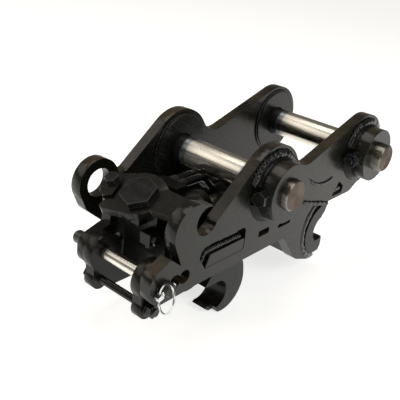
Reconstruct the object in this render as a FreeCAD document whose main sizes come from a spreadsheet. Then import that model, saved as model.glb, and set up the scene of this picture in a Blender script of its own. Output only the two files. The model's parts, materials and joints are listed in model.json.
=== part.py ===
import FreeCAD, Part
import math
import os
import Sketcher
from FreeCAD import Vector, Placement, Rotation

# Excavator quick coupler: two side plates carry the dipper and link pins, the front jaw and
# the sliding rear hooks hold the attachment's two pins.  +X points to the front jaw, +Y to the
# plate with the lifting eye, +Z up; the origin is the middle of the rear (dipper) pin.

doc = FreeCAD.newDocument("quick_coupler")

# ---------------------------------------------------------------- driving dimensions (mm)
sheet = doc.addObject("Spreadsheet::Sheet", "Dims")
SIZES = [
    ("pin_gap", 276, "distance between the two machine pins"),
    ("inner_width", 178, "clear width between the side plates"),
    ("plate_t", 20, "side plate thickness"),
    ("pin_d", 50, "machine pin diameter"),
    ("pin_play", 0.25, "radial play of the pins in their bosses"),
    ("stick_pin_len", 279, "rear machine pin length"),
    ("link_pin_len", 291, "front machine pin length"),
    ("boss_d", 96, "pin boss outside diameter"),
    ("boss_len", 53, "near pin boss length, through the plate"),
    ("far_boss_len", 32, "far pin boss length, through the plate"),
    ("hump_r", 68, "plate radius round the pins"),
    ("ring_d", 116, "thrust ring outside diameter"),
    ("ring_t", 5, "thrust ring thickness"),
    ("eye_x", -179, "lifting eye centre along X"),
    ("eye_z", -19, "lifting eye centre height"),
    ("eye_d", 47, "lifting eye hole diameter"),
    ("eye_r", 39, "lifting eye outside radius"),
    ("jaw_x", 182, "front jaw seat centre along X"),
    ("jaw_z", -132, "front jaw seat centre height"),
    ("jaw_seat_r", 25.5, "front jaw seat radius"),
    ("jaw_out_r", 50, "front jaw casting radius"),
    ("jaw_cut_r", 69, "plate opening round the jaw casting"),
    ("rail_y", 30, "inner rail face towards the hooks"),
    ("rail_t", 19, "inner rail thickness"),
    ("lock_x", -229, "lock pin axis along X"),
    ("lock_z", -90, "lock pin axis height"),
    ("lock_d", 20, "lock pin diameter"),
    ("lock_hole_d", 22, "lock holes in the plates"),
    ("lock_pitch", 19, "pitch of the three lock holes"),
    ("tilt", 25, "slope of the top plate, degrees"),
    ("top_t", 12, "top plate thickness"),
    ("hook_x", -81, "hook seat centre along X"),
    ("hook_z", -177, "hook seat centre height"),
    ("hook_seat_r", 25.5, "hook seat radius"),
    ("hook_w", 40, "width of one hook"),
    ("cyl_x", -75, "gland end of the cylinder along X"),
    ("cyl_z", -45, "cylinder axis height"),
    ("cyl_r", 30, "cylinder outside radius"),
    ("bore_r", 22, "cylinder bore radius"),
    ("rod_r", 12.5, "piston rod radius"),
    ("tie_x", -238, "tie bolt axis along X"),
    ("tie_z", -131, "tie bolt axis height"),
    ("tie_d", 12, "tie bolt diameter"),
    ("link_t", 18, "yoke link thickness"),
]
for row, (alias, value, note) in enumerate(SIZES, start=1):
    sheet.set("A%d" % row, alias)
    sheet.set("B%d" % row, str(value))
    sheet.set("C%d" % row, note)
    sheet.setAlias("B%d" % row, alias)
doc.recompute()
D = {alias: float(sheet.get(alias)) for alias, value, note in SIZES}

HALF = D["inner_width"] / 2
OUT = HALF + D["plate_t"]
BAY_MID = (D["rail_y"] - HALF) / 2
PIN_R = D["pin_d"] / 2
parts = []


# ---------------------------------------------------------------- sketch and body helpers
def polar(cx, cz, r, deg):
    return (cx + r * math.cos(math.radians(deg)), cz + r * math.sin(math.radians(deg)))


def rounded(corners):
    """Closed loop of lines and fillet arcs from corner points (x, z, radius)."""
    count = len(corners)
    loop = []
    for i in range(count):
        x, z, r = corners[i]
        px, pz, _ = corners[i - 1]
        nx, nz, _ = corners[(i + 1) % count]
        here = Vector(x, z, 0)
        back = (Vector(px, pz, 0) - here).normalize()
        ahead = (Vector(nx, nz, 0) - here).normalize()
        half = math.acos(max(-1.0, min(1.0, back.dot(ahead)))) / 2
        if r <= 0 or abs(half - math.pi / 2) < 1e-3:
            loop.append(("point", here))
            continue
        run = r / math.tan(half)
        start = here + back * run
        end = here + ahead * run
        centre = here + (back + ahead).normalize() * (r / math.sin(half))
        mid = centre + (here - centre).normalize() * r
        loop.append(("arc", start, mid, end))
    return loop


def loop_edges(loop):
    edges = []
    count = len(loop)
    for i in range(count):
        item = loop[i]
        if item[0] == "arc":
            edges.append(Part.Arc(item[1], item[2], item[3]))
            leave = item[3]
        else:
            leave = item[1]
        nxt = loop[(i + 1) % count]
        enter = nxt[1]
        if (enter - leave).Length > 1e-6:
            edges.append(Part.LineSegment(leave, enter))
    return edges


def circle(cx, cz, r):
    return [Part.Circle(Vector(cx, cz, 0), Vector(0, 0, 1), r)]


def new_body(label, x="0", y="0", z="0"):
    body = doc.addObject("PartDesign::Body", label)
    body.Label = label
    doc.recompute()
    place(body, x, y, z)
    parts.append(body)
    return body


def place(obj, x, y, z):
    for axis, text in (("x", x), ("y", y), ("z", z)):
        if str(text) != "0":
            obj.setExpression("Placement.Base." + axis, str(text))


def sketch_on(body, role, geometry, name):
    plane = [f for f in body.Origin.OriginFeatures if f.Role == role][0]
    sk = body.newObject("Sketcher::SketchObject", name)
    sk.AttachmentSupport = [(plane, "")]
    sk.MapMode = "FlatFace"
    sk.addGeometry(geometry, False)
    doc.recompute()
    return sk


def pad(body, geometry, length, role="XZ_Plane", both=False):
    """Pad away from the plane: a sketch on XZ grows towards -Y."""
    sk = sketch_on(body, role, geometry, body.Name + "_s")
    feature = body.newObject("PartDesign::Pad", body.Name + "_pad")
    feature.Profile = sk
    feature.setExpression("Length", str(length))
    feature.Midplane = both
    sk.Visibility = False
    body.Tip = feature
    doc.recompute()
    return feature


def cut(body, geometry, length=None, role="XZ_Plane", depth=0.0):
    """Pocket along -Y, right through when no length is given; it must remove something."""
    before = body.Shape.Volume
    sk = sketch_on(body, role, geometry, body.Name + "_c")
    sk.AttachmentOffset = Placement(Vector(0, 0, depth), Rotation())
    feature = body.newObject("PartDesign::Pocket", body.Name + "_cut")
    feature.Profile = sk
    if length is None:
        feature.Type = "ThroughAll"
    else:
        feature.setExpression("Length", str(length))
    feature.Midplane = length is None
    feature.Reversed = True
    sk.Visibility = False
    body.Tip = feature
    doc.recompute()
    if before - body.Shape.Volume < 1:
        raise RuntimeError("nothing removed in " + body.Label)
    return feature


def plate(label, corners, y_top, thickness, holes=()):
    """Flat plate in the XZ plane: outline corners, far face at y_top, holes as edge lists."""
    body = new_body(label, y=y_top)
    geometry = loop_edges(rounded(corners))
    for hole in holes:
        geometry += hole
    pad(body, geometry, thickness)
    return body


def shape_part(label, shape, base=Vector(0, 0, 0), turn=Rotation()):
    """A sub-part built from Part primitives, with its own placement."""
    feature = doc.addObject("Part::Feature", label)
    feature.Label = label
    feature.Shape = shape
    feature.Placement = Placement(base, turn)
    parts.append(feature)
    return feature


def cyl(r, length, base, axis):
    return Part.makeCylinder(r, length, Vector(*base), Vector(*axis))


def tube(r_out, r_in, length, base, axis):
    start = Vector(*base) - Vector(*axis) * 1
    return cyl(r_out, length, base, axis).cut(cyl(r_in, length + 2, start, axis))


def hexagon(across_flats, height, base, axis, turn=0.0):
    """Hexagonal prism with its outer end chamfered like a bolt head."""
    r = across_flats / math.sqrt(3)
    ring = [Vector(r * math.cos(math.radians(turn + 60 * k)),
                   r * math.sin(math.radians(turn + 60 * k)), 0) for k in range(7)]
    prism = Part.Face(Part.makePolygon(ring)).extrude(Vector(0, 0, height))
    over = 0.96 * r
    slope = (r - over) * 0.6
    limit = cyl(r * 1.02, height - slope, (0, 0, 0), (0, 0, 1))
    limit = limit.fuse(Part.makeCone(r * 1.02, over, slope, Vector(0, 0, height - slope)))
    solid = prism.common(limit)
    turn_to = Rotation(Vector(0, 0, 1), Vector(*axis))
    solid.Placement = Placement(Vector(*base), turn_to)
    return solid


# ---------------------------------------------------------------- side plate outlines
SLOPE = 39.2
RISE = 17.4
gap = D["pin_gap"]
hump = D["hump_r"]
rear_tan = polar(0, 0, hump, 90 + SLOPE)
front_tan = polar(gap, 0, hump - 1, 90 + RISE)
side_tan = polar(0, 0, hump, 32)


def slope_point(x):
    """Point of the straight rear slope that touches the rear hump."""
    return (x, rear_tan[1] + math.tan(math.radians(SLOPE)) * (x - rear_tan[0]))


UPPER = [
    (gap + 24, -58, 0),
    (gap, 20, 0),
    (front_tan[0], front_tan[1], 0),
    (76, 7, 43),
    (side_tan[0], side_tan[1], 0),
    (0, 20, 0),
    (rear_tan[0], rear_tan[1], 0),
]
# the jaw casting sits in a round opening that is closed above by a straight joint
JAW_JOINT = [(137, -68.4), (189, -83)]
JAW_CUT = (183.0, -123.0)
JAW_BACK = [
    (60, -111, 25),
    (104, -168, 45),
    (145, -182.5, 20),
    (D["jaw_x"], -182, 0),
    (D["jaw_x"], JAW_JOINT[1][1], 0),
    (JAW_JOINT[1][0], JAW_JOINT[1][1], 0),
    (JAW_JOINT[1][0], -79, 0),
    (262, -79, 25),
]


def joint_z(x):
    """Height of the straight joint between a side plate and the jaw casting."""
    (x0, z0), (x1, z1) = JAW_JOINT
    return z0 + (z1 - z0) * (x - x0) / (x1 - x0)


def jaw_opening():
    """Round opening for the jaw, with the straight joint as its upper side."""
    cx, cz = JAW_CUT
    r = D["jaw_cut_r"]
    slope = (joint_z(1) - joint_z(0))
    level = joint_z(cx) - cz
    # where the straight joint meets the circle, left of the centre
    a = 1 + slope * slope
    b = 2 * slope * level
    c = level * level - r * r
    dx = (-b - math.sqrt(b * b - 4 * a * c)) / (2 * a)
    start = (cx + dx, joint_z(cx + dx))
    low = (cx, cz - r)
    through = polar(cx, cz, r, 200)
    arc = Part.Arc(Vector(start[0], start[1], 0), Vector(through[0], through[1], 0),
                   Vector(low[0], low[1], 0))
    right = cx + r
    return [arc, line(low, (right, low[1])), line((right, low[1]), (right, joint_z(right))),
            line((right, joint_z(right)), start)]


def line(p, q):
    return Part.LineSegment(Vector(p[0], p[1], 0), Vector(q[0], q[1], 0))


boss_holes = [circle(0, 0, D["boss_d"] / 2), circle(gap, 0, D["boss_d"] / 2)]


def hump_discs(body, thickness):
    pad(body, circle(0, 0, hump), thickness)
    pad(body, circle(gap, 0, hump - 1), thickness)


def slot_hole(x0, x1, z0, z1, r):
    return loop_edges(rounded([(x0, z0, r), (x1, z0, r), (x1, z1, r), (x0, z1, r)]))


WINDOW = [(-147, -91.6, 2), (-56, -91.6, 6), (-56, -51, 9), (-156, -52.5, 10), (-162, -70, 8)]

# near plate: open rear lobe, tail with the lock holes, window for the guide bar
TAIL_R = 27
near_tip = slope_point(-131)
tail = [
    (D["lock_x"] - TAIL_R - 2, D["lock_z"] - TAIL_R + 0.5, 24),
    (-150, -112, 0),
    (30, -110, 0),
]
near = new_body("side_plate_near", y="-Dims.inner_width / 2")
lobe_left = polar(D["eye_x"], D["eye_z"], D["eye_r"], 200)
near_corners = tail + JAW_BACK + UPPER + [
    (near_tip[0], near_tip[1], 0),
    (-138, 2, 0),
    (-148, 13, 5),
    (D["eye_x"], D["eye_z"] + D["eye_r"] - 1, 0),
    (D["eye_x"], D["eye_z"], 0),
    (lobe_left[0], lobe_left[1], 0),
    (-200, -67, 0),
    (-222, -49.5, 1),
    (D["lock_x"] - TAIL_R - 3, D["lock_z"] + TAIL_R - 4, 16),
]
pad(near, loop_edges(rounded(near_corners)), "Dims.plate_t")
hump_discs(near, "Dims.plate_t")
pad(near, circle(D["eye_x"], D["eye_z"], D["eye_r"]), "Dims.plate_t")
cut(near, jaw_opening())
cut(near, circle(-153, -12, 22.5))
for hole in boss_holes:
    cut(near, hole)
for k in range(3):
    cut(near, circle(D["lock_x"] + k * D["lock_pitch"], D["lock_z"] + 1.2 * k, D["lock_hole_d"] / 2))
cut(near, loop_edges(rounded(WINDOW)))
cut(near, slot_hole(-20, 8, -83, -72, 2))
cut(near, loop_edges(rounded([(30, -84, 3), (70, -84, 3), (66, -74, 3), (36, -77, 3)])))
cut(near, loop_edges(rounded([(196, -73, 3), (232, -73, 4), (234, -60, 4), (216, -47, 4)])))

# far plate: closed lifting eye at the rear
far = new_body("side_plate_far", y="Dims.inner_width / 2 + Dims.plate_t")
eye_tan = polar(D["eye_x"], D["eye_z"], D["eye_r"], 20)
valley = slope_point(-122)
far_corners = [
    (-150, -104, 20),
    (30, -110, 0),
] + JAW_BACK + UPPER + [
    (valley[0], valley[1], 13),
    (eye_tan[0] + 3, eye_tan[1] - 10, 6),
    (D["eye_x"], D["eye_z"], 0),
    (lobe_left[0], lobe_left[1], 0),
    (-203, -60, 25),
]
pad(far, loop_edges(rounded(far_corners)), "Dims.plate_t")
hump_discs(far, "Dims.plate_t")
pad(far, circle(D["eye_x"], D["eye_z"], D["eye_r"]), "Dims.plate_t")
cut(far, jaw_opening())
cut(far, circle(D["eye_x"], D["eye_z"], D["eye_d"] / 2))
for hole in boss_holes:
    cut(far, hole)

TOP_X = -208.0
TOP_Z = 2.0


def under_top(x):
    """Height of the sloped top plate's lower face."""
    drop = D["top_t"] / math.cos(math.radians(D["tilt"]))
    return TOP_Z - drop + math.tan(math.radians(D["tilt"])) * (x - TOP_X)


# inner rail: carries the far end of the lock pin and the second guide bar, with a keel below
KEEL_X = -204.0
rail = plate("inner_rail", [
    (D["lock_x"] - TAIL_R + 2.5, D["lock_z"] - TAIL_R, 22),
    (KEEL_X, D["lock_z"] - TAIL_R, 3),
    (KEEL_X, -167, 12),
    (-146, -167, 10),
    (-124, -113, 10),
    (20, -112, 10),
    (20, -62, 12),
    (-150, -62, 14),
    (-168, under_top(-168), 0),
    (-208, under_top(-208), 0),
    (-208, -57, 0),
    (D["lock_x"] - TAIL_R + 2.5, D["lock_z"] + TAIL_R - 8, 20),
], "Dims.rail_y + Dims.rail_t", "Dims.rail_t")
for k in range(3):
    cut(rail, circle(D["lock_x"] + k * D["lock_pitch"], D["lock_z"] + 1.2 * k, D["lock_hole_d"] / 2))

# ---------------------------------------------------------------- bosses, rings and welds
BOLT_Y = 125
BOLT_R = 7.0
for end, x_text in (("rear", "0"), ("front", "Dims.pin_gap")):
    for side, sign in (("near", -1), ("far", 1)):
        boss = new_body("boss_%s_%s" % (side, end), x=x_text,
                        y="Dims.inner_width / 2 + Dims.far_boss_len" if sign > 0
                        else "-Dims.inner_width / 2")
        ring = circle(0, 0, D["boss_d"] / 2) + circle(0, 0, PIN_R + D["pin_play"])
        pad(boss, ring, "Dims.boss_len" if sign < 0 else "Dims.far_boss_len")
        if side == "near":
            hole = sketch_on(boss, "YZ_Plane",
                             [Part.Circle(Vector(-(BOLT_Y - HALF), 0, 0), Vector(0, 0, 1), BOLT_R + 0.5)],
                             boss.Name + "_h")
            before = boss.Shape.Volume
            drill = boss.newObject("PartDesign::Pocket", boss.Name + "_drill")
            drill.Profile = hole
            drill.Type = "ThroughAll"
            drill.Midplane = True
            boss.Tip = drill
            doc.recompute()
            if before - boss.Shape.Volume < 1:
                raise RuntimeError("bolt hole missed in " + boss.Label)

rings = []
welds = []
for cx in (0.0, gap):
    for sign in (-1, 1):
        rings.append(tube(D["ring_d"] / 2, PIN_R + 1.5, D["ring_t"], (cx, sign * HALF, 0), (0, -sign, 0)))
        bead = Part.makeCone(D["boss_d"] / 2 + 10, D["boss_d"] / 2 + 1, 9,
                             Vector(cx, sign * OUT, 0), Vector(0, sign, 0))
        bead = bead.cut(cyl(D["boss_d"] / 2, 24, (cx, sign * (OUT - 2), 0), (0, sign, 0)))
        if sign < 0:
            # room for the cross bolt's head, nut and seats
            for turn in (-1, 1):
                gap_box = Part.makeBox(30, 40, 30, Vector(cx + turn * 57 - 15, -BOLT_Y - 14, -15))
                bead = bead.cut(gap_box)
        welds.append(bead)
shape_part("thrust_rings", Part.makeCompound(rings))
shape_part("boss_welds", Part.makeCompound(welds))

# ---------------------------------------------------------------- machine pins and their bolts
PIN_START = -152.0
LINK_START = -160.0
for label, cx, start, length in (("stick_pin", 0.0, PIN_START, D["stick_pin_len"]),
                                 ("link_pin", gap, LINK_START, D["link_pin_len"])):
    shaft = cyl(PIN_R - 0.02, length, (0, start, 0), (0, 1, 0))
    ends = [e for e in shaft.Edges if e.Curve.TypeId == "Part::GeomCircle"]
    shaft = shaft.makeChamfer(2.0, ends)
    shaft = shaft.cut(cyl(BOLT_R + 0.5, 80, (-40, -BOLT_Y, 0), (1, 0, 0)))
    shape_part(label, shaft, Vector(cx, 0, 0))

FLAT = 50.5
head_rear = hexagon(22, 9, (-FLAT, -BOLT_Y, 0), (-1, 0, 0))
shank_rear = cyl(BOLT_R, 116, (-FLAT, -BOLT_Y, 0), (1, 0, 0))
shape_part("stick_pin_bolt", head_rear.fuse(shank_rear).removeSplitter())
nut = hexagon(22, 11, (FLAT, -BOLT_Y, 0), (1, 0, 0))
shape_part("stick_pin_nut", nut.cut(cyl(BOLT_R, 20, (FLAT - 2, -BOLT_Y, 0), (1, 0, 0))))
head_front = hexagon(22, 9, (gap + FLAT, -BOLT_Y, 0), (1, 0, 0))
shank_front = cyl(BOLT_R, 125, (gap + FLAT, -BOLT_Y, 0), (-1, 0, 0))
shape_part("link_pin_bolt", head_front.fuse(shank_front).removeSplitter())
pair = []
for k in range(2):
    one = hexagon(22, 9, (gap - FLAT - 9.6 * k, -BOLT_Y, 0), (-1, 0, 0), 30 * k)
    pair.append(one.cut(cyl(BOLT_R, 20, (gap - FLAT - 9.6 * k + 2, -BOLT_Y, 0), (-1, 0, 0))))
shape_part("link_pin_nuts", Part.makeCompound(pair))

# round pads that give the bolt heads and nuts a flat seat on the bosses
seats = []
for cx in (0.0, gap):
    for sign in (-1, 1):
        block = cyl(12.5, 14, (cx + sign * (FLAT - 14), -BOLT_Y, 0), (sign, 0, 0))
        block = block.cut(cyl(D["boss_d"] / 2, 60, (cx, -BOLT_Y - 30, 0), (0, 1, 0)))
        block = block.cut(cyl(BOLT_R + 0.5, 40, (cx + sign * (FLAT - 20), -BOLT_Y, 0), (sign, 0, 0)))
        seats.append(block)
shape_part("bolt_seats", Part.makeCompound(seats))

# ---------------------------------------------------------------- front jaw
jaw = new_body("front_jaw", y="Dims.inner_width / 2 + Dims.plate_t")
jx = D["jaw_x"]
jz = D["jaw_z"]
seat = D["jaw_seat_r"]
outer = D["jaw_out_r"]
lip_end = polar(jx, jz, seat, -58)
top_end = polar(jx, jz, seat, 104)
seat_left = polar(jx, jz, seat, 203)
JAW_LIP = [(jx, jz - outer), (jx + 10, jz - 49), (jx + 15, jz - 41), (jx + 15, jz - 31), lip_end]
JAW_TOP = [top_end, (jx - 5, jz + 28), (jx + 2, jz + 34), (jx + 5.5, jz + 43), (jx + 6, jz + 49),
           (jx, jz + outer)]
jaw_edges = [Part.Arc(Vector(jx, jz + outer, 0), Vector(jx - outer, jz, 0), Vector(jx, jz - outer, 0))]
jaw_edges += [line(p, q) for p, q in zip(JAW_LIP, JAW_LIP[1:])]
jaw_edges.append(Part.Arc(Vector(lip_end[0], lip_end[1], 0), Vector(seat_left[0], seat_left[1], 0),
                          Vector(top_end[0], top_end[1], 0)))
jaw_edges += [line(p, q) for p, q in zip(JAW_TOP, JAW_TOP[1:])]
pad(jaw, jaw_edges, "Dims.inner_width + 2 * Dims.plate_t")
# the lip is stepped back at both outer faces
STEP = 4.0
lip_step = loop_edges(rounded([
    (jx - 7, jz - 24.6, 0), (jx, jz - 30, 0), (jx - 6, jz - 39, 0), (jx - 17, jz - 45, 0),
    (jx - 22, jz - 58, 0), (jx + 28, jz - 58, 0), (jx + 28, jz - 13, 0), (jx - 4, jz - 13, 0)]))
cut(jaw, lip_step, STEP)
cut(jaw, lip_step, STEP, depth=2 * OUT - STEP)

# weld fillings round the jaw casting, set back from the plate faces
fills = []
for y_top in (-HALF, OUT - 6):
    gap_fill = Part.Face(Part.Wire([e.toShape() for e in jaw_opening()]))
    gap_fill = gap_fill.extrude(Vector(0, 0, D["plate_t"] - 6))
    gap_fill.rotate(Vector(), Vector(1, 0, 0), 90)
    gap_fill.translate(Vector(0, y_top, 0))
    keep = Part.makeBox(jx - 100, 30, 140, Vector(100, y_top - 20, -181.5))
    gap_fill = gap_fill.common(keep)
    fills.append(gap_fill.cut(cyl(outer, 40, (jx, y_top - 30, jz), (0, 1, 0))))
shape_part("jaw_welds", Part.makeCompound(fills))

# wall behind the jaw, between the side plates, following their lower edge
plate("jaw_wall", [
    (56, -112, 0),
    (62, -112, 20),
    (106, -168, 43),
    (160, -181.5, 0),
    (152, -173, 0),
    (114, -153, 30),
    (76, -100, 10),
    (56, -98, 0),
], "Dims.inner_width / 2", "Dims.inner_width")

# deck between the plates, cut away over the hook carriage
deck = Part.makeBox(124, D["inner_width"], 11, Vector(-20, -HALF, -83))
deck = deck.cut(Part.makeBox(45, HALF + D["rail_y"] + D["rail_t"] + 1, 20, Vector(-21, -HALF - 0.5, -90)))
shape_part("deck_plate", deck)

# ---------------------------------------------------------------- sloped top plate and its bolts
tilt = D["tilt"]
top_turn = Rotation(Vector(0, 1, 0), -tilt)
top_base = Vector(TOP_X, 0, TOP_Z)


LOBE_S = 12.2
LOBE_Y = -13.6
lobe_r = 41.0
slab = new_body("top_plate")
slab.Placement = Placement(top_base, top_turn)
flat = loop_edges(rounded([
    (1, -HALF, 0),
    (39.4, -HALF, 0),
    (39.4, -50, 10),
    (50, -30, 12),
    (51, 4, 20),
    (28, 43, 8),
    (2, 49, 8),
    (-14, 37, 5),
    (-21, 28, 3),
    (-22, 22, 0),
    (-34, 22.5, 3),
    (-37, 15, 4),
    (-30, -12, 0),
    (-20, -41, 6),
    (-4, -51, 5),
]))
pad(slab, flat, "Dims.top_t", role="XY_Plane")
slab.Tip.Reversed = True
doc.recompute()
pad(slab, circle(LOBE_S, LOBE_Y, lobe_r), "Dims.top_t", role="XY_Plane")
slab.Tip.Reversed = True
doc.recompute()
BIG_S = 10.4
BIG_Y = -17.4
STEM_R = 15.0
STEM_LEN = 24.0
SMALL_S = 9.8
SMALL_Y = 36.8
KEEPER_R = 5.5
STRAP_T = 5.0
for s, y, r in ((BIG_S, BIG_Y, STEM_R + 0.5), (SMALL_S, SMALL_Y, KEEPER_R + 0.5)):
    before = slab.Shape.Volume
    sk = sketch_on(slab, "XY_Plane", circle(s, y, r), "slab_hole")
    hole = slab.newObject("PartDesign::Pocket", "slab_drill")
    hole.Profile = sk
    hole.Type = "ThroughAll"
    hole.Midplane = True
    slab.Tip = hole
    doc.recompute()
    if before - slab.Shape.Volume < 1:
        raise RuntimeError("top plate hole missed")

head = hexagon(50, 9.5, (BIG_S, BIG_Y, 0), (0, 0, 1), 12)
stem = cyl(STEM_R, STEM_LEN, (BIG_S, BIG_Y, 0), (0, 0, -1))
shape_part("pivot_bolt", head.fuse(stem).removeSplitter(), top_base, top_turn)
# small strap under the keeper bolt, overlapping the edge of the top plate
strap = new_body("keeper_strap")
strap.Placement = Placement(top_base, top_turn)
strap_edges = loop_edges(rounded([
    (-20, 28.6, 4), (-13, 15, 2), (13, 22, 4), (26, 31, 8), (21, 47, 9), (1, 49, 9), (-13, 38, 5)]))
pad(strap, strap_edges + circle(SMALL_S, SMALL_Y, KEEPER_R + 0.5), STRAP_T, role="XY_Plane")
small_head = hexagon(19, 7, (SMALL_S, SMALL_Y, STRAP_T), (0, 0, 1), 4)
small_stem = cyl(KEEPER_R, D["top_t"] + STRAP_T, (SMALL_S, SMALL_Y, STRAP_T), (0, 0, -1))
shape_part("keeper_bolt", small_head.fuse(small_stem).removeSplitter(), top_base, top_turn)

# ---------------------------------------------------------------- guides for the hook carriage
PLUG = [(-146, -91.3, 1.5), (-57, -91.3, 6), (-57, -71, 4), (-137, -72, 4)]
plug_edges = loop_edges(rounded(PLUG))
plug = Part.Face(Part.Wire([e.toShape() for e in plug_edges])).extrude(Vector(0, 0, D["plate_t"] - 0.5))
plug.rotate(Vector(), Vector(1, 0, 0), 90)
plug.translate(Vector(0, -HALF, 0))
TONGUE = 9.0
tongue = Part.makeBox(88, TONGUE, 10, Vector(-147, -HALF, -97))
root = Part.makeBox(88, 2, 12, Vector(-147, -HALF, -92))
shape_part("guide_near", plug.fuse([tongue, root]).removeSplitter())
window_edges = loop_edges(rounded(WINDOW))
fill = Part.Face(Part.Wire([e.toShape() for e in window_edges])).extrude(Vector(0, 0, 12))
fill.rotate(Vector(), Vector(1, 0, 0), 90)
fill.translate(Vector(0, -HALF, 0))
shape_part("guide_weld", fill.cut(plug))
bar = Part.makeBox(88, TONGUE, 10, Vector(-147, D["rail_y"] - TONGUE, -97))
shape_part("guide_far", bar)
spacers = []
for x in (-135, -62):
    spacers.append(Part.makeBox(34, HALF - D["rail_y"] - D["rail_t"], 30,
                                Vector(x, D["rail_y"] + D["rail_t"], -102)))
shape_part("rail_spacers", Part.makeCompound(spacers))

# ---------------------------------------------------------------- rear hooks and their carriage
hx = D["hook_x"]
hz = D["hook_z"]
hr = D["hook_seat_r"]
HEEL = (hx + 21, hz + 10)
HEEL_R = 46.9
DECK_Z = -111.0


def arc_points(cx, cz, r, a0, a1):
    mid = polar(cx, cz, r, (a0 + a1) / 2)
    ends = [polar(cx, cz, r, a) for a in (a0, a1)]
    return Part.Arc(Vector(ends[0][0], ends[0][1], 0), Vector(mid[0], mid[1], 0),
                    Vector(ends[1][0], ends[1][1], 0)), ends


LIP_OUT = -103.0
LIP_IN = -99.0
outer_arc, outer_ends = arc_points(HEEL[0], HEEL[1], HEEL_R, LIP_OUT, 15)
seat_arc, seat_ends = arc_points(hx, hz, hr, 90, LIP_IN)
neck_top = (hx + 40, DECK_Z)
neck = Part.Arc(Vector(outer_ends[1][0], outer_ends[1][1], 0),
                Vector(hx + 57, hz + 49, 0), Vector(neck_top[0], neck_top[1], 0))
hook_edges = [
    outer_arc,
    neck,
    line(neck_top, (hx + 2, DECK_Z)),
    line((hx + 2, DECK_Z), (hx - 30, hz + hr + 1.5)),
    line((hx - 30, hz + hr + 1.5), (hx - 28, hz + hr)),
    line((hx - 28, hz + hr), seat_ends[0]),
    seat_arc,
    line(seat_ends[1], (hx - 9, hz - 28.5)),
    line((hx - 9, hz - 28.5), (hx, hz - 35.2)),
    line((hx, hz - 35.2), outer_ends[0]),
]
LIP_BACK = [(hx - 20, hz - 40, 0), (hx + 9.8, hz - 40, 0), (hx + 9.8, hz - 35.5, 0),
            (hx + 3.5, hz - 23.6, 0), (hx + 3.5, hz - 15, 0), (hx - 20, hz - 15, 0)]
CHEEK = 12.0
for side, y_text, depth in (("near", "-Dims.inner_width / 2 + 2 + Dims.hook_w", D["hook_w"] - CHEEK),
                            ("far", "Dims.rail_y - 2", 0.0)):
    hook = new_body("hook_" + side, y=y_text)
    pad(hook, hook_edges, "Dims.hook_w")
    cut(hook, loop_edges(rounded(LIP_BACK)), CHEEK, depth=depth)

CAR_Y0 = -HALF + 2.5
CAR_Y1 = D["rail_y"] - 2.5
car = Part.makeBox(82, CAR_Y1 - CAR_Y0, 32, Vector(-106, CAR_Y0, DECK_Z))
for y0 in (CAR_Y0 - 1, CAR_Y1 - TONGUE + 1):
    car = car.cut(Part.makeBox(90, TONGUE, 11, Vector(-110, y0, -97.5)))
lug = Part.makeBox(22, 44, 84, Vector(-30, BAY_MID - 22, DECK_Z))
lug = lug.makeFillet(8, [e for e in lug.Edges
                         if abs(e.BoundBox.ZMin - (DECK_Z + 84)) < 0.1 and e.BoundBox.XLength > 1])
car = car.fuse(lug).removeSplitter()
ROD_Z = D["cyl_z"]
car = car.cut(cyl(8.5, 60, (-50, BAY_MID, ROD_Z), (1, 0, 0)))
car = car.cut(cyl(D["rod_r"] + 0.5, 12, (-35, BAY_MID, ROD_Z), (1, 0, 0)))
web = Part.makeBox(36, 23, 26, Vector(hx + 4, BAY_MID - 11.5, DECK_Z - 26))
web = web.makeFillet(8, [e for e in web.Edges
                         if abs(e.BoundBox.ZMax - (DECK_Z - 26)) < 0.1 and e.BoundBox.YLength > 1])
car = car.fuse(web).removeSplitter()
shape_part("hook_carriage", car)
strips = []
for y0 in (CAR_Y0 - 1.5, CAR_Y1):
    strips.append(Part.makeBox(76, 1.5, 11, Vector(-103, y0, -110)))
shape_part("wear_strips", Part.makeCompound(strips))

# ---------------------------------------------------------------- hydraulic cylinder
gx = D["cyl_x"]
CAP_X = -176.0
CAP_T = 22.0
cap = Part.makeBox(CAP_T, 63.5, 128, Vector(CAP_X - CAP_T, BAY_MID - 25, -104))
cap_lug = Part.makeBox(17.5, 16, 80, Vector(CAP_X - CAP_T - 17, -36, -31))
cap = cap.fuse(cap_lug).removeSplitter()
above = Part.makeBox(120, 200, 120, Vector(-60, -100, -D["top_t"]))
above.Placement = Placement(top_base, top_turn)
cap = cap.cut(above)
hole = cyl(STEM_R + 0.5, STEM_LEN + 2, (BIG_S, BIG_Y, 0), (0, 0, -1))
hole.Placement = Placement(top_base, top_turn)
cap = cap.cut(hole)
shape_part("cylinder_cap", cap)
GLAND = 12.0
barrel = tube(D["cyl_r"], D["bore_r"], gx - GLAND - CAP_X, (CAP_X, BAY_MID, ROD_Z), (1, 0, 0))
shape_part("cylinder_barrel", barrel)
gland = tube(D["cyl_r"] + 1, D["rod_r"] + 0.06, GLAND, (gx - GLAND, BAY_MID, ROD_Z), (1, 0, 0))
ends = [e for e in gland.Edges if e.Curve.TypeId == "Part::GeomCircle"
        and abs(e.Curve.Radius - D["cyl_r"] - 1) < 0.01]
shape_part("cylinder_gland", gland.makeChamfer(1.5, ends))
PISTON_X = -128.0
piston = tube(D["bore_r"] - 0.06, 8.0, 18, (PISTON_X, BAY_MID, ROD_Z), (1, 0, 0))
for k in (5, 13):
    groove = tube(D["bore_r"] + 1, D["bore_r"] - 2.5, 3.2, (PISTON_X + k - 1.6, BAY_MID, ROD_Z), (1, 0, 0))
    piston = piston.cut(groove)
shape_part("piston", piston)
seals = []
for k in (5, 13):
    seals.append(tube(D["bore_r"] - 0.04, D["bore_r"] - 2.4, 3.0,
                      (PISTON_X + k - 1.5, BAY_MID, ROD_Z), (1, 0, 0)))
shape_part("piston_seals", Part.makeCompound(seals))
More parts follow.
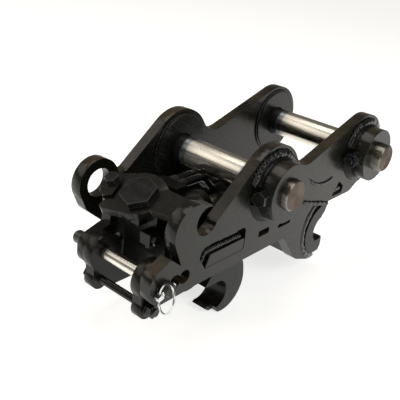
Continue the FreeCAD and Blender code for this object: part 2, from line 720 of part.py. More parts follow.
rod = cyl(D["rod_r"], -23.5 - (PISTON_X + 18), (PISTON_X + 18, BAY_MID, ROD_Z), (1, 0, 0))
rod = rod.fuse(cyl(7.9, 18, (PISTON_X, BAY_MID, ROD_Z), (1, 0, 0)))
rod = rod.fuse(cyl(8, 29.5, (-23.6, BAY_MID, ROD_Z), (1, 0, 0)))
shape_part("piston_rod", rod.removeSplitter())
rod_nut = hexagon(24, 11, (-8, BAY_MID, ROD_Z), (1, 0, 0))
shape_part("rod_nut", rod_nut.cut(cyl(8.05, 20, (-10, BAY_MID, ROD_Z), (1, 0, 0))))

# check valve on the back of the cap and the port manifold on the barrel
VALVE_Y = -61.0
valve = Part.makeBox(18, 21, 19, Vector(CAP_X - CAP_T - 18, VALVE_Y, -54))
valve = valve.makeFillet(1.5, valve.Edges)
shape_part("check_valve", valve)
plugs = [hexagon(13, 6, (CAP_X - CAP_T - 9, VALVE_Y, -44.5), (0, -1, 0)),
         hexagon(11, 5, (CAP_X - CAP_T - 9, VALVE_Y + 10.5, -54), (0, 0, -1))]
shape_part("valve_plugs", Part.makeCompound(plugs))
MAN_Z = -14.0
manifold = Part.makeBox(24, 50, 20, Vector(-124, -20.5, MAN_Z - 10))
manifold = manifold.cut(cyl(D["cyl_r"], 40, (-130, BAY_MID, ROD_Z), (1, 0, 0)))
shape_part("port_manifold", manifold)

# ---------------------------------------------------------------- hoses and their fittings
HOSE_R = 7.0
HOSE_Y = (3.5, 21.0)
START_X = -100.0
RUN = 52.0
BEND_A = 28.0
BEND_B = 30.0
DIAG = 17.3
END_X = 60.0
TURN = math.radians(45)


def xz(x, z):
    return Vector(x, 0, z)


def hose_path():
    """Straight, down, and level again below the rear pin."""
    s = math.sin(TURN)
    c = math.cos(TURN)
    p0 = xz(START_X + 1, MAN_Z)
    p1 = xz(START_X + RUN, MAN_Z)
    p2 = xz(p1.x + BEND_A * s, MAN_Z - BEND_A * (1 - c))
    m1 = xz(p1.x + BEND_A * math.sin(TURN / 2), MAN_Z - BEND_A * (1 - math.cos(TURN / 2)))
    p3 = xz(p2.x + DIAG * c, p2.z - DIAG * s)
    p4 = xz(p3.x + BEND_B * s, p3.z - BEND_B * (1 - c))
    m2 = xz(p4.x - BEND_B * math.sin(TURN / 2), p4.z + BEND_B * (1 - math.cos(TURN / 2)))
    p5 = xz(END_X - 1, p4.z)
    edges = [Part.makeLine(p0, p1), Part.Arc(p1, m1, p2).toShape(), Part.makeLine(p2, p3),
             Part.Arc(p3, m2, p4).toShape(), Part.makeLine(p4, p5)]
    return Part.Wire(edges), p0, p5


spine, hose_in, hose_out = hose_path()
profile = Part.Wire(Part.makeCircle(HOSE_R, hose_in, Vector(1, 0, 0)))
hose = spine.makePipeShell([profile], True, True)
LOW_Z = hose_out.z
collars = []
nuts = []
for name, y in zip(("a", "b"), HOSE_Y):
    shape_part("hose_" + name, hose, Vector(0, y, 0))
    for x, z, sign in ((START_X, MAN_Z, 1), (END_X, LOW_Z, -1)):
        collars.append(tube(8.4, HOSE_R, 13, (x + sign * 6, y, z), (sign, 0, 0)))
        cuff = hexagon(15, 6, (x, y, z), (sign, 0, 0))
        nuts.append(cuff.cut(cyl(HOSE_R, 10, (x + sign * 1.0, y, z), (sign, 0, 0))))
shape_part("hose_ferrules", Part.makeCompound(collars))
shape_part("hose_nuts", Part.makeCompound(nuts))
bulk = Part.makeBox(22, 42, LOW_Z + 12 + 72, Vector(END_X, -9, -72))
bulk = bulk.makeFillet(3, [e for e in bulk.Edges if e.BoundBox.ZMin > LOW_Z + 11])
shape_part("hose_bulkhead", bulk)

# ---------------------------------------------------------------- lock pin, yoke and linch pin
lx = D["lock_x"]
lz = D["lock_z"]
lr = D["lock_d"] / 2
PIN_NEAR = -121.0
KNOB_Y = D["rail_y"] + D["rail_t"] + 1
LINCH_Y = -114.5
LINCH_TILT = 18.0
SHANK_R = 3.4
along = Vector(math.cos(math.radians(LINCH_TILT)), 0, math.sin(math.radians(LINCH_TILT)))
lock_mid = Vector(lx, LINCH_Y, lz)
lock = cyl(lr, KNOB_Y - PIN_NEAR, (lx, PIN_NEAR, lz), (0, 1, 0))
lock = lock.makeChamfer(1.5, [e for e in lock.Edges if e.BoundBox.YMax < PIN_NEAR + 0.1])
collar = cyl(12.5, 6, (lx, KNOB_Y, lz), (0, 1, 0))
knob = cyl(10.5, 26, (lx, KNOB_Y + 4, lz), (0, 1, 0))
knob = knob.makeFillet(6.0, [e for e in knob.Edges if e.BoundBox.YMin > KNOB_Y + 29])
lock = lock.fuse([collar, knob]).removeSplitter()
lock = lock.cut(cyl(SHANK_R + 0.2, 40, lock_mid - along * 20, along))
shape_part("lock_pin", lock)

tx = D["tie_x"]
tz = D["tie_z"]
tr = D["tie_d"] / 2
LINK_GAP = 0.5
for side, y_text in (("near", "-Dims.inner_width / 2 + 0.5 + Dims.link_t"), ("far", "Dims.rail_y - 0.5")):
    link = new_body("yoke_link_" + side, y=y_text)
    pad(link, circle(lx, lz, 30), "Dims.link_t")
    pad(link, circle(tx, tz, 17), "Dims.link_t")
    pad(link, loop_edges(rounded([(lx - 24, lz - 10, 0), (tx - 14, tz + 8, 0),
                                  (tx + 14, tz + 4, 0), (lx + 22, lz - 10, 0)])), "Dims.link_t")
    if side == "far":
        pad(link, loop_edges(rounded([(lx + 24, lz - 8, 0), (lx + 26, lz - 47, 8),
                                      (tx, tz - 16.8, 0), (tx, lz - 10, 0)])), "Dims.link_t")
    cut(link, circle(lx, lz, lr + 0.08))
    cut(link, circle(tx, tz, tr + 0.3))

LINK_OUT_NEAR = -HALF + LINK_GAP
LINK_OUT_FAR = D["rail_y"] - LINK_GAP
TIE_HEAD = 8.0
tie_len = LINK_OUT_FAR - LINK_OUT_NEAR + 16
tie = cyl(tr, tie_len, (tx, LINK_OUT_NEAR - 16, tz), (0, 1, 0))
tie = tie.fuse(hexagon(19, TIE_HEAD, (tx, LINK_OUT_FAR + 2, tz), (0, 1, 0)))
shape_part("tie_bolt", tie.fuse(cyl(tr, 3, (tx, LINK_OUT_FAR - 0.5, tz), (0, 1, 0))).removeSplitter())
tie_nut = hexagon(19, 10, (tx, LINK_OUT_NEAR - 2, tz), (0, -1, 0), 15)
shape_part("tie_nut", tie_nut.cut(cyl(tr, 20, (tx, LINK_OUT_NEAR, tz), (0, -1, 0))))
discs = [tube(12, tr + 0.2, 2, (tx, LINK_OUT_NEAR, tz), (0, -1, 0)),
         tube(12, tr + 0.2, 2, (tx, LINK_OUT_FAR, tz), (0, 1, 0))]
shape_part("tie_washers", Part.makeCompound(discs))

# linch pin: block head, cross shank through the lock pin, and a snap ring through the head
RING_R = 20.3
WIRE_R = 1.6
HEAD_AT = 18.5
ring_axis = Vector(0.886, -0.380, -0.264).normalize()
ring_reach = Vector(-0.246, -0.870, 0.425).normalize()
head_mid = lock_mid - along * HEAD_AT
level = Rotation(Vector(1, 0, 0), along)
block = Part.makeBox(11, 10, 7, Vector(-5.5, -5, -3.5))
block = block.makeFillet(1.2, block.Edges)
block.Placement = Placement(head_mid, level)
shank = cyl(SHANK_R, 27, (0, 0, 0), (1, 0, 0))
shank = shank.makeChamfer(0.8, [e for e in shank.Edges if e.BoundBox.XMin > 26])
shank.Placement = Placement(head_mid + along * 4, level)
hinge = ring_axis.cross(ring_reach)
linch = block.fuse(shank).removeSplitter()
linch = linch.cut(cyl(WIRE_R + 1.4, 30, head_mid - hinge * 15, hinge))
shape_part("linch_pin", linch)
shape_part("linch_ring", Part.makeTorus(RING_R, WIRE_R, head_mid + ring_reach * RING_R, ring_axis))

# ---------------------------------------------------------------- check and export
doc.recompute()
os.makedirs("parts", exist_ok=True)
bad = []
for obj in doc.Objects:
    if {"Invalid", "Error"} & set(obj.State):
        bad.append(obj.Label + " " + str(obj.State))
for part in parts:
    shape = part.Shape
    if shape.isNull() or not shape.isValid() or not shape.Solids:
        bad.append(part.Label)
        continue
    shape.exportStep("parts/%s.step" % part.Label)
    box = shape.BoundBox
    print("%-18s %2d solids  x %.1f..%.1f  y %.1f..%.1f  z %.1f..%.1f" % (
        part.Label, len(shape.Solids), box.XMin, box.XMax, box.YMin, box.YMax, box.ZMin, box.ZMax))
print(len(parts), "parts")
if bad:
    raise RuntimeError("not sound: " + ", ".join(bad))
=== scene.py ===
import bpy
import bmesh
import json
import math
from mathutils import Matrix, Vector, noise


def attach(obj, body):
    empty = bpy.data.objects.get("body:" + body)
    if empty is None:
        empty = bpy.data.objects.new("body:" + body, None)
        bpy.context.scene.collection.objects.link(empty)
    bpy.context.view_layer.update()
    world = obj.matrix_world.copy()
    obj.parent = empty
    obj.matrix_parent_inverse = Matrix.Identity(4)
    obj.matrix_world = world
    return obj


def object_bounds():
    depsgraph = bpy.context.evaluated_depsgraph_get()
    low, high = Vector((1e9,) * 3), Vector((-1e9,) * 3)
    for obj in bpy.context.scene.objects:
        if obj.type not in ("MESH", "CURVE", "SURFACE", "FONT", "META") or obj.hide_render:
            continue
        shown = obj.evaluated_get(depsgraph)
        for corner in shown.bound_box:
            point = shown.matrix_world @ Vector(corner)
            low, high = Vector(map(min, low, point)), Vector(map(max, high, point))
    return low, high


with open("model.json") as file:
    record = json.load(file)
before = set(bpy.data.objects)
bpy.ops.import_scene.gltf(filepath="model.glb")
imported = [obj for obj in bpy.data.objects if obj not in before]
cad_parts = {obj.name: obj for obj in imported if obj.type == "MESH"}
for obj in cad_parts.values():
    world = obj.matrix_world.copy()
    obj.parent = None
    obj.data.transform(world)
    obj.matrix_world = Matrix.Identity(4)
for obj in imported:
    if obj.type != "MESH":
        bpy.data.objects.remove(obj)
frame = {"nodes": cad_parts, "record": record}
cad_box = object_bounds()
nodes = frame["nodes"]
MM = 0.001


# ---------------------------------------------------------------- camera
LENS_MM = 60.98
SENSOR_MM = 36.0
CAMERA_AT = Vector((-819.4, -627.1, 414.1)) * MM
CAMERA_RIGHT = Vector((0.65997, -0.74443, 0.10134))
CAMERA_UP = Vector((0.25784, 0.35112, 0.90013))


def make_camera():
    """A long lens, 25 degrees above the horizon, facing the corner with the lock pin."""
    data = bpy.data.cameras.new("camera")
    data.lens = LENS_MM
    data.sensor_width = SENSOR_MM
    data.clip_start = 0.05
    data.clip_end = 60.0
    camera = bpy.data.objects.new("camera", data)
    bpy.context.collection.objects.link(camera)
    right = CAMERA_RIGHT.normalized()
    back = right.cross(CAMERA_UP).normalized()
    up = back.cross(right)
    turn = Matrix((right, up, back)).transposed().to_4x4()
    camera.matrix_world = Matrix.Translation(CAMERA_AT) @ turn
    bpy.context.scene.camera = camera


# ---------------------------------------------------------------- material helpers
class Graph:
    """A short way to write a node material: n(type, inputs, settings) makes and links a node."""

    def __init__(self, name):
        self.material = bpy.data.materials.new(name)
        self.material.use_nodes = True
        self.tree = self.material.node_tree
        self.tree.nodes.clear()
        self.output = self.n("ShaderNodeOutputMaterial")

    def n(self, kind, inputs=None, **settings):
        node = self.tree.nodes.new(kind)
        for key, value in settings.items():
            setattr(node, key, value)
        for key, value in (inputs or {}).items():
            self.link(node.inputs[key], value)
        return node

    def link(self, socket, value):
        if isinstance(value, bpy.types.Node):
            value = value.outputs[0]
        if isinstance(value, bpy.types.NodeSocket):
            self.tree.links.new(value, socket)
        else:
            socket.default_value = value

    def math(self, operation, a, b=0.0):
        return self.n("ShaderNodeMath", {0: a, 1: b}, operation=operation)

    def vmath(self, operation, a, b):
        return self.n("ShaderNodeVectorMath", {0: a, 1: b}, operation=operation)

    def ramp(self, value, low, high, to_low=0.0, to_high=1.0):
        """Smooth step that takes value from low..high to to_low..to_high."""
        return self.n("ShaderNodeMapRange", {
            "Value": value, "From Min": low, "From Max": high, "To Min": to_low, "To Max": to_high,
        }, interpolation_type="SMOOTHSTEP")

    def noise(self, place, scale, detail=3.0, rough=0.55):
        return self.n("ShaderNodeTexNoise", {
            "Vector": place, "Scale": scale, "Detail": detail, "Roughness": rough,
        })

    def mix(self, factor, a, b):
        node = self.n("ShaderNodeMix", data_type="RGBA")
        self.link(node.inputs[0], factor)
        self.link(node.inputs[6], a)
        self.link(node.inputs[7], b)
        return node.outputs[2]

    def bump(self, height, distance, strength=1.0, normal=None):
        node = self.n("ShaderNodeBump", {"Height": height, "Distance": distance, "Strength": strength})
        if normal is not None:
            self.link(node.inputs["Normal"], normal)
        return node

    def place(self):
        """Position in the piece's own frame, in metres, so it moves with the piece."""
        return self.n("ShaderNodeTexCoord").outputs["Object"]

    def normal_axes(self):
        return self.n("ShaderNodeSeparateXYZ", {0: self.n("ShaderNodeTexCoord").outputs["Normal"]})

    def edge(self, radius):
        """1 along sharp edges and 0 on open faces."""
        rounded = self.n("ShaderNodeBevel", {"Radius": radius}, samples=6)
        flat = self.n("ShaderNodeNewGeometry").outputs["Normal"]
        dot = self.vmath("DOT_PRODUCT", rounded, flat)
        return self.ramp(self.math("SUBTRACT", 1.0, dot.outputs["Value"]), 0.02, 0.35)

    def finish(self, **inputs):
        shader = self.n("ShaderNodeBsdfPrincipled", {
            key.replace("_", " "): value for key, value in inputs.items()
        })
        self.link(self.output.inputs["Surface"], shader)
        return self.material


def rgb(r, g, b):
    return (r, g, b, 1.0)


# ---------------------------------------------------------------- materials
# linear colours of the worn and the bare places, and of the painted highlights and the painted
# reflection
PRIMER_BROWN = rgb(0.060, 0.043, 0.030)
# painted warm highlight that black_paint lays in patches on up-facing faces
TOP_SHEEN_BROWN = rgb(0.058, 0.042, 0.024)
BARE_STEEL = (rgb(0.72, 0.685, 0.61), rgb(0.92, 0.88, 0.80))
# painted cool reflection: a blue band on the bare pins next to the paint
BLUE_REFLECTION_STEEL = rgb(0.42, 0.46, 0.52)
DULL_STEEL = rgb(0.20, 0.185, 0.165)
# bare chamfers of the pins, brightened further as a painted highlight
BARE_RIM_AND_HIGHLIGHT = rgb(0.80, 0.77, 0.70)
END_BROWN = (rgb(0.100, 0.072, 0.052), rgb(0.160, 0.120, 0.092))
# painted blue-grey highlight along the corners of bolts and hose fittings
EDGE_HIGHLIGHT_GREY = rgb(0.16, 0.18, 0.21)

# where the finish of the cross pins changes, as |y| from the middle, in metres
# the first of these is where the painted blue reflection band on the bare pins begins
BLUE_REFLECTION_FROM = 0.0540
PAINT_FROM = 0.0680
DULL_FROM = 0.1150
PAINT_TO = 0.1400
# the lock pin lies behind x = LOCK_X and is bare only between these two y, in metres
LOCK_X = -0.190
LOCK_BARE = (-0.0925, 0.004)


# brown sets how strongly the painted warm highlight tints the up-facing faces
def black_paint(name="black_paint", base=(0.0070, 0.0070, 0.0052), rough=0.25, texture=1.0, brown=0.90,
                ior=1.34):
    """Black enamel over rolled plate: orange peel, thin dusty film, edges rubbed to brown primer, a
    painted warm highlight on tops.
    """
    g = Graph(name)
    at = g.place()
    cloud = g.noise(at, 14.0, 4.0)
    fine = g.noise(at, 90.0, 3.0)
    peel = g.noise(at, 420.0, 2.0)
    # painted highlight: up-facing faces are tinted warm brown in patches, as strongly as brown says
    up = g.ramp(g.normal_axes().outputs[2], 0.50, 0.95)
    worn = g.math("MULTIPLY", g.edge(0.0022), g.ramp(fine, 0.46, 0.66))
    paler = rgb(base[0] * 1.5, base[1] * 1.5, base[2] * 1.4)
    tint = g.mix(g.ramp(cloud, 0.35, 0.68), rgb(*base), paler)
    top_sheen = g.math("MULTIPLY", up, g.ramp(g.noise(at, 16.0, 4.0), 0.36, 0.66))
    tint = g.mix(g.math("MULTIPLY", top_sheen, brown), tint, TOP_SHEEN_BROWN)
    colour = g.mix(g.math("MULTIPLY", worn, 0.45), tint, PRIMER_BROWN)
    dust = g.ramp(g.noise(at, 34.0, 5.0, 0.65), 0.45, 0.72, 0.0, 0.03)
    gloss = g.math("ADD", g.ramp(fine, 0.3, 0.7, rough - 0.03, rough + 0.05), dust)
    wave = g.bump(g.noise(at, 24.0, 2.0), 0.00010 * texture, 0.15)
    skin = g.bump(peel, 0.0002 * texture, 0.20, wave)
    return g.finish(
        Base_Color=colour, Roughness=gloss, IOR=ior, Normal=skin, Coat_Weight=0.10, Coat_Roughness=0.08,
    )


def weld_paint():
    """Thick glossy enamel pooled over weld metal."""
    g = Graph("weld_paint")
    at = g.place()
    fine = g.noise(at, 240.0, 4.0, 0.6)
    drops = g.noise(at, 900.0, 2.0)
    colour = g.mix(g.ramp(fine, 0.4, 0.7), rgb(0.005, 0.005, 0.005), rgb(0.012, 0.011, 0.010))
    return g.finish(
        Base_Color=colour, Roughness=g.ramp(fine, 0.3, 0.7, 0.10, 0.20), IOR=1.38, Coat_Weight=0.15,
        Coat_Roughness=0.06, Normal=g.bump(drops, 0.00006, 0.3, g.bump(fine, 0.0004, 0.4)),
    )


def cast_black():
    """The same enamel over cast and greased pieces: a duller skin with hardly any painted warm top
    highlight, and a darker base that is painted shade.
    """
    return black_paint("cast_black", (0.0050, 0.0050, 0.0042), 0.29, 0.3, 0.06, 1.30)


def shaded_black():
    """Painted shade: a darker, duller copy of the black enamel for pieces deep between the plates,
    where little light returns.
    """
    return black_paint("shaded_black", (0.0030, 0.0030, 0.0028), 0.42, 0.3, 0.0, 1.22)


def ground_steel():
    """Ground pins: scratches along them, browned ends, bare chamfers brightened as a painted highlight,
    a painted blue reflection band, paint next to the plates.
    """
    g = Graph("ground_steel")
    at = g.place()
    stretched = g.vmath("MULTIPLY", at, (1.0, 0.06, 1.0))
    lines = g.noise(stretched, 420.0, 3.0, 0.6)
    stain = g.noise(at, 26.0, 4.0)
    where = g.n("ShaderNodeSeparateXYZ", {0: at})
    across = g.math("ABSOLUTE", where.outputs[1])
    ragged = g.math("MULTIPLY", g.noise(at, 45.0, 3.0), 0.004)
    inside = g.ramp(g.math("ADD", across, ragged), PAINT_FROM, PAINT_FROM + 0.0025)
    inboard = g.math("MULTIPLY", inside, g.ramp(across, PAINT_TO, PAINT_TO + 0.001, 1.0, 0.0))
    rear = g.ramp(where.outputs[0], LOCK_X, LOCK_X + 0.010, 1.0, 0.0)
    near_end = g.ramp(where.outputs[1], LOCK_BARE[0] - 0.0025, LOCK_BARE[0] + 0.0025, 1.0, 0.0)
    far_end = g.ramp(where.outputs[1], LOCK_BARE[1], LOCK_BARE[1] + 0.004)
    lock_ends = g.math("MAXIMUM", near_end, far_end)
    painted = g.mix(rear, inboard, g.math("MULTIPLY", lock_ends, 0.96))
    axes = g.normal_axes()
    end = g.ramp(g.math("ABSOLUTE", axes.outputs[1]), 0.90, 0.97)
    side = g.mix(g.ramp(lines, 0.3, 0.7), *BARE_STEEL)
    # painted reflection: a cool blue band on the bare pin next to the paint
    side = g.mix(g.ramp(across, BLUE_REFLECTION_FROM, BLUE_REFLECTION_FROM + 0.004), side, BLUE_REFLECTION_STEEL)
    side = g.mix(g.ramp(across, DULL_FROM, DULL_FROM + 0.002), side, DULL_STEEL)
    # bare chamfers brightened further as a painted highlight along the pin edges
    side = g.mix(g.edge(0.0014), side, BARE_RIM_AND_HIGHLIGHT)
    brown = g.mix(g.ramp(stain, 0.35, 0.65), *END_BROWN)
    colour = g.mix(painted, g.mix(end, side, brown), rgb(0.020, 0.020, 0.018))
    rough = g.math("ADD", g.ramp(lines, 0.3, 0.7, 0.26, 0.34), g.math("MULTIPLY", end, 0.30))
    metal = g.math("SUBTRACT", 1.0, g.math("MAXIMUM", painted, g.math("MULTIPLY", end, 0.6)))
    skin = g.bump(lines, 0.00002, 0.3)
    round_it = g.n("ShaderNodeTangent", direction_type="RADIAL", axis="Y")
    return g.finish(
        Base_Color=colour, Roughness=rough, Metallic=metal, Normal=skin, Anisotropic=0.85,
        Anisotropic_Rotation=0.25, Tangent=round_it,
    )


def dark_bolt():
    """Bolts and nuts painted over with the plates, with a painted blue-grey highlight along their
    corners.
    """
    g = Graph("dark_bolt")
    at = g.place()
    cloud = g.noise(at, 60.0, 4.0)
    fine = g.noise(at, 300.0, 2.0)
    colour = g.mix(g.ramp(cloud, 0.35, 0.65), rgb(0.006, 0.006, 0.006), rgb(0.011, 0.011, 0.010))
    # painted highlight: the corners turn blue-grey
    colour = g.mix(g.math("MULTIPLY", g.edge(0.0020), 0.8), colour, EDGE_HIGHLIGHT_GREY)
    return g.finish(
        Base_Color=colour, Roughness=g.ramp(cloud, 0.3, 0.7, 0.18, 0.28), IOR=1.4, Coat_Weight=0.1,
        Coat_Roughness=0.08, Normal=g.bump(fine, 0.00008, 0.3),
    )


def fitting_steel():
    """Hose fittings painted over in black, with a painted blue-grey highlight on the corners."""
    g = Graph("fitting_steel")
    at = g.place()
    cloud = g.noise(at, 130.0, 4.0)
    colour = g.mix(g.ramp(cloud, 0.35, 0.65), rgb(0.010, 0.010, 0.011), rgb(0.022, 0.023, 0.025))
    # painted highlight: the corners turn blue-grey
    colour = g.mix(g.math("MULTIPLY", g.edge(0.0010), 0.5), colour, EDGE_HIGHLIGHT_GREY)
    return g.finish(
        Base_Color=colour, Roughness=g.ramp(cloud, 0.3, 0.7, 0.18, 0.34), IOR=1.5, Coat_Weight=0.3,
        Coat_Roughness=0.1,
    )


def zinc_steel():
    """Bright zinc plating, slightly uneven."""
    g = Graph("zinc_steel")
    at = g.place()
    cloud = g.noise(at, 150.0, 3.0)
    colour = g.mix(g.ramp(cloud, 0.35, 0.65), rgb(0.62, 0.64, 0.66), rgb(0.82, 0.83, 0.84))
    return g.finish(
        Base_Color=colour, Metallic=1.0, Roughness=g.ramp(cloud, 0.3, 0.7, 0.12, 0.26),
        Normal=g.bump(g.noise(at, 700.0, 2.0), 0.0001, 0.4),
    )


def hose_rubber():
    """Smooth hose cover with a faint wrapped-cloth print."""
    g = Graph("hose_rubber")
    at = g.place()
    wrap = g.n("ShaderNodeTexWave", {"Vector": at, "Scale": 220.0, "Distortion": 1.2, "Detail": 1.0})
    cloud = g.noise(at, 80.0, 3.0)
    colour = g.mix(g.ramp(cloud, 0.3, 0.7), rgb(0.005, 0.005, 0.006), rgb(0.009, 0.009, 0.010))
    return g.finish(
        Base_Color=colour, Roughness=g.ramp(cloud, 0.3, 0.7, 0.10, 0.18), IOR=1.33,
        Normal=g.bump(wrap, 0.00005, 0.3),
    )


def machined_steel():
    """Turned steel with fine tool marks."""
    g = Graph("machined_steel")
    at = g.place()
    marks = g.n("ShaderNodeTexWave", {"Vector": at, "Scale": 500.0, "Distortion": 0.6})
    cloud = g.noise(at, 60.0, 3.0)
    colour = g.mix(g.ramp(cloud, 0.3, 0.7), rgb(0.36, 0.36, 0.355), rgb(0.48, 0.48, 0.47))
    return g.finish(Base_Color=colour, Metallic=1.0, Roughness=0.28, Normal=g.bump(marks, 0.00008, 0.5))


def bronze():
    """Bearing bronze, dulled by grease."""
    g = Graph("bronze")
    cloud = g.noise(g.place(), 70.0, 4.0)
    colour = g.mix(g.ramp(cloud, 0.35, 0.65), rgb(0.36, 0.22, 0.08), rgb(0.52, 0.34, 0.14))
    return g.finish(Base_Color=colour, Metallic=1.0, Roughness=g.ramp(cloud, 0.3, 0.7, 0.3, 0.5))


def seal_rubber():
    """Matt black nitrile."""
    g = Graph("seal_rubber")
    cloud = g.noise(g.place(), 120.0, 3.0)
    colour = g.mix(cloud, rgb(0.012, 0.012, 0.013), rgb(0.03, 0.03, 0.03))
    return g.finish(Base_Color=colour, Roughness=g.ramp(cloud, 0.3, 0.7, 0.4, 0.6))


def floor_white():
    """Pale studio floor with a glow of its own, so it stays almost white."""
    g = Graph("floor_white")
    cloud = g.noise(g.place(), 3.0, 3.0)
    colour = g.mix(cloud, rgb(0.86, 0.86, 0.85), rgb(0.88, 0.88, 0.875))
    return g.finish(
        Base_Color=colour, Roughness=0.9, Emission_Color=rgb(1.0, 1.0, 0.985), Emission_Strength=0.72,
    )


MATERIALS = {
    "black_paint": black_paint(),
    "cast_black": cast_black(),
    "shaded_black": shaded_black(),
    "ground_steel": ground_steel(),
    "dark_bolt": dark_bolt(),
    "zinc_steel": zinc_steel(),
    "hose_rubber": hose_rubber(),
    "machined_steel": machined_steel(),
    "bronze": bronze(),
    "seal_rubber": seal_rubber(),
    "fitting_steel": fitting_steel(),
    "weld_paint": weld_paint(),
}
# pieces whose finish differs from the rest of their material slot; the darker cast_black and
# shaded_black copies of the enamel are painted shade on the pieces listed for them
FINISH = {node: finish for finish, group in {
    "cast_black": ("top_plate", "cylinder_cap", "check_valve", "inner_rail", "yoke_link_near",
                   "yoke_link_far", "keeper_strap"),
    "shaded_black": ("boss_welds", "hook_carriage", "cylinder_barrel", "cylinder_gland", "deck_plate",
                     "port_manifold", "hose_bulkhead", "rail_spacers", "jaw_wall"),
    "fitting_steel": ("hose_ferrules", "hose_nuts"),
    "weld_paint": ("guide_weld", "jaw_welds"),
}.items() for node in group}


# ---------------------------------------------------------------- finish of the CAD pieces
# width of the rounded edge by material slot, in mm
EDGE_WIDTH = {"black_paint": 0.9, "cast_black": 1.2, "dark_bolt": 0.6, "ground_steel": 0.3}


def round_edges(obj, width_mm):
    """Joins the split vertices and gives the sharp edges a small radius, inside the CAD shape."""
    weld = obj.modifiers.new("weld", "WELD")
    weld.merge_threshold = 0.00001
    bevel = obj.modifiers.new("edge", "BEVEL")
    bevel.width = width_mm * MM
    bevel.segments = 2
    bevel.limit_method = "ANGLE"
    bevel.angle_limit = math.radians(28)
    bevel.harden_normals = True
    bevel.use_clamp_overlap = True


def dress_cad():
    """Gives every CAD piece its finish, and the painted and ground ones soft edges."""
    slots = {entry["node"]: entry["material_slot"] for entry in frame["record"]["subparts"]}
    for name, obj in nodes.items():
        slot = slots[name]
        for place in obj.material_slots:
            place.link = "OBJECT"
            place.material = MATERIALS[FINISH.get(name, slot)]
        if slot in EDGE_WIDTH:
            round_edges(obj, EDGE_WIDTH[slot])


# ---------------------------------------------------------------- stage and light
FLOOR_HALF = 14.0
WORLD_STRENGTH = 0.26
# where the sky's colour changes, from the horizon (0) to straight up (1)
SKY = ((0.0, rgb(0.80, 0.84, 0.90)), (0.30, rgb(0.62, 0.57, 0.48)), (0.9, rgb(0.62, 0.60, 0.56)))


def make_floor():
    """A plain square floor under the lowest point of the coupler."""
    low = cad_box[0].z
    mesh = bpy.data.meshes.new("floor")
    corners = [(x * FLOOR_HALF, y * FLOOR_HALF, low) for x, y in ((-1, -1), (1, -1), (1, 1), (-1, 1))]
    mesh.from_pydata(corners, [], [(0, 1, 2, 3)])
    floor = bpy.data.objects.new("floor", mesh)
    bpy.context.collection.objects.link(floor)
    mesh.materials.append(floor_white())


def area_light(name, at, towards, size, watts, colour=(1, 1, 1)):
    """A soft box of size (width, height) in metres at one place, turned towards another."""
    data = bpy.data.lights.new(name, "AREA")
    data.shape = "RECTANGLE"
    data.size, data.size_y = size
    data.energy = watts
    data.color = colour
    light = bpy.data.objects.new(name, data)
    bpy.context.collection.objects.link(light)
    light.location = at
    light.rotation_mode = "QUATERNION"
    light.rotation_quaternion = (Vector(towards) - Vector(at)).to_track_quat("-Z", "Y")


def make_lights():
    """A white cove, cool at the horizon and warm overhead, with boxes in front, above and behind."""
    world = bpy.data.worlds.new("studio")
    world.use_nodes = True
    tree = world.node_tree
    sky = tree.nodes["Background"]
    direction = tree.nodes.new("ShaderNodeTexCoord")
    split = tree.nodes.new("ShaderNodeSeparateXYZ")
    ramp = tree.nodes.new("ShaderNodeValToRGB")
    tree.links.new(direction.outputs["Generated"], split.inputs[0])
    tree.links.new(split.outputs[2], ramp.inputs["Fac"])
    tree.links.new(ramp.outputs["Color"], sky.inputs["Color"])
    stops = ramp.color_ramp.elements
    stops.new(SKY[1][0])
    for stop, (place, colour) in zip(stops, SKY):
        stop.position = place
        stop.color = colour
    sky.inputs["Strength"].default_value = WORLD_STRENGTH
    bpy.context.scene.world = world
    area_light("key", (0.3, -2.2, 1.5), (0, 0, -0.05), (1.6, 1.2), 18)
    area_light("top", (0.1, 0.4, 2.2), (0, 0, 0), (1.4, 1.4), 16, (1.0, 0.93, 0.84))
    area_light("back", (-1.5, 2.0, 1.9), (0, 0, 0), (2.8, 1.9), 24, (1.0, 0.95, 0.86))
    bpy.context.scene.view_settings.view_transform = "Standard"


# ---------------------------------------------------------------- weld beads
def along_points(points, step):
    """Evenly spaced points on a polyline, with their running length."""
    out = []
    run = 0.0
    for a, b in zip(points, points[1:]):
        length = (b - a).length
        count = max(1, int(length / step))
        for k in range(count):
            out.append((a + (b - a) * (k / count), run + length * k / count))
        run += length
    out.append((points[-1], run))
    return out


# proportions of a bead, as parts of its radius
BEAD_STEP = 0.22
BEAD_PITCH = 1.25
BEAD_HEIGHT = 0.72
BEAD_LEAN = 0.30
BEAD_SIDES = 12


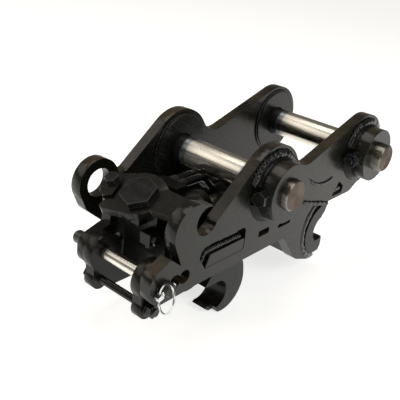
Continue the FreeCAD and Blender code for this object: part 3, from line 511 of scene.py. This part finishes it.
def weld_bead(name, points, radius, out, seed, ripple=0.10):
    """Rippled bead laid along points, in metres; out is the direction in which it stands proud."""
    path = along_points(points, radius * BEAD_STEP)
    pitch = radius * BEAD_PITCH
    bm = bmesh.new()
    rings = []
    last = len(path) - 1
    for i, (at, run) in enumerate(path):
        ahead = (path[min(i + 1, last)][0] - path[max(i - 1, 0)][0]).normalized()
        away = (Vector(out) - ahead * Vector(out).dot(ahead)).normalized()
        side = ahead.cross(away)
        wander = noise.noise(at * 160.0 + Vector((seed, 0, 0)))
        phase = (run / pitch + 0.35 * wander) % 1.0
        swell = 1.0 + ripple * math.sin(2 * math.pi * phase) + 0.20 * wander
        taper = min(1.0, (min(i, last - i) + 1.5) / 7.0)
        r = radius * swell * math.sqrt(taper)
        ring = []
        for k in range(BEAD_SIDES):
            turn = 2 * math.pi * k / BEAD_SIDES
            up = away * (math.cos(turn) * r * BEAD_HEIGHT)
            lean = ahead * (math.cos(turn) * radius * BEAD_LEAN)
            ring.append(bm.verts.new(at + up + side * (math.sin(turn) * r) + lean))
        rings.append(ring)
    for a, b in zip(rings, rings[1:]):
        for k in range(BEAD_SIDES):
            after = (k + 1) % BEAD_SIDES
            bm.faces.new((a[k], a[after], b[after], b[k]))
    bm.faces.new(list(reversed(rings[0])))
    bm.faces.new(rings[-1])
    bmesh.ops.recalc_face_normals(bm, faces=bm.faces)
    mesh = bpy.data.meshes.new(name)
    bm.to_mesh(mesh)
    bm.free()
    for face in mesh.polygons:
        face.use_smooth = True
    mesh.materials.append(MATERIALS["weld_paint"])
    bead = bpy.data.objects.new(name, mesh)
    bpy.context.collection.objects.link(bead)
    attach(bead, "frame")


ARC_STEPS = 40


def arc(cx, y, cz, r, start, end):
    """Points in metres on a circle parallel to the side plates, from mm and degrees."""
    points = []
    for k in range(ARC_STEPS + 1):
        turn = math.radians(start + (end - start) * k / ARC_STEPS)
        points.append(Vector((cx + r * math.cos(turn), y, cz + r * math.sin(turn))) * MM)
    return points


def trail(y, *points):
    """Points in metres from (x, z) in mm, all at one y."""
    return [Vector((x, y, z)) * MM for x, z in points]


# places on the coupler that the welds follow, in mm; the y of a face is the same on both sides
FACE_Y = 109.0
RING_Y = 88.2
JAW_BEAD_Y = 102.5
FRONT_PIN_X = 276.0
JAW_X = 182.0
JAW_Z = -132.0
NEAR = Vector((0, -1, 0))
FAR = Vector((0, 1, 0))


def weld_bosses():
    """A wide bead over each near boss, a short toe bead behind it, and thin ones round the rings."""
    for label, cx, start, end in (("rear", 0.0, 14, 164), ("front", FRONT_PIN_X, 20, 162)):
        crown = arc(cx, -FACE_Y - 1.5, 0, 54.0, start, end)
        weld_bead("weld_boss_" + label, crown, 0.0078, NEAR, seed=cx, ripple=0.07)
        toe = arc(cx, -FACE_Y - 1.0, 0, 60.5, end - 46, end - 2)
        weld_bead("weld_toe_" + label, toe, 0.0048, NEAR, seed=cx + 7, ripple=0.34)
        for side in (-1, 1):
            ring = arc(cx, side * RING_Y, 0, 58.6, 0, 359)
            weld_bead("weld_ring_%s_%d" % (label, side), ring, 0.0030, (0, -side, 0), seed=cx + side)


def weld_jaw():
    """The seam between each side plate and the jaw, and the beads along both faces of the jaw."""
    seam = ((138, -68.4), (160, -74.6), (178, -80), (188, -83))
    weld_bead("weld_joint", trail(-FACE_Y, (98, -55), (116, -62), *seam), 0.0042, NEAR, seed=11)
    weld_bead("weld_joint_far", trail(FACE_Y, *seam), 0.0042, FAR, seed=12)
    for side, seed in ((-1, 21), (1, 31)):
        y = side * JAW_BEAD_Y
        out = (0, side, 0)
        groove = arc(JAW_X + 0.5, y, JAW_Z + 4.5, 59.5, 107, 262)
        weld_bead("weld_jaw_%d" % side, groove, 0.0092, out, seed=seed, ripple=0.04)
        rim = arc(JAW_X, y, JAW_Z, 52.4, 98, 258)
        weld_bead("weld_jaw_rim_%d" % side, rim, 0.0040, out, seed=seed + 3)


def weld_near_plate():
    """The patch seam, the bead in the front window and the beads in the guide's window."""
    patch = trail(-FACE_Y - 0.2, (108, -17), (122, -26), (140, -33), (160, -36), (178, -35), (186, -31))
    weld_bead("weld_patch", patch, 0.0030, NEAR, seed=41)
    window = trail(-104.0, (201, -68), (210, -63), (220, -62), (229, -66))
    weld_bead("weld_window", window, 0.0060, NEAR, seed=43)
    guide = trail(-102.5, (-150, -86), (-149, -77), (-145, -70), (-137, -67), (-124, -66.8),
                  (-100, -67), (-78, -67.3), (-60, -67.6))
    weld_bead("weld_guide", guide, 0.0046, NEAR, seed=51, ripple=0.08)
    guide_end = trail(-99.0, (-155, -76), (-151, -66), (-142, -60), (-128, -58.5))
    weld_bead("weld_guide_end", guide_end, 0.0050, NEAR, seed=55, ripple=0.16)


make_camera()
make_floor()
make_lights()
dress_cad()
weld_bosses()
weld_jaw()
weld_near_plate()
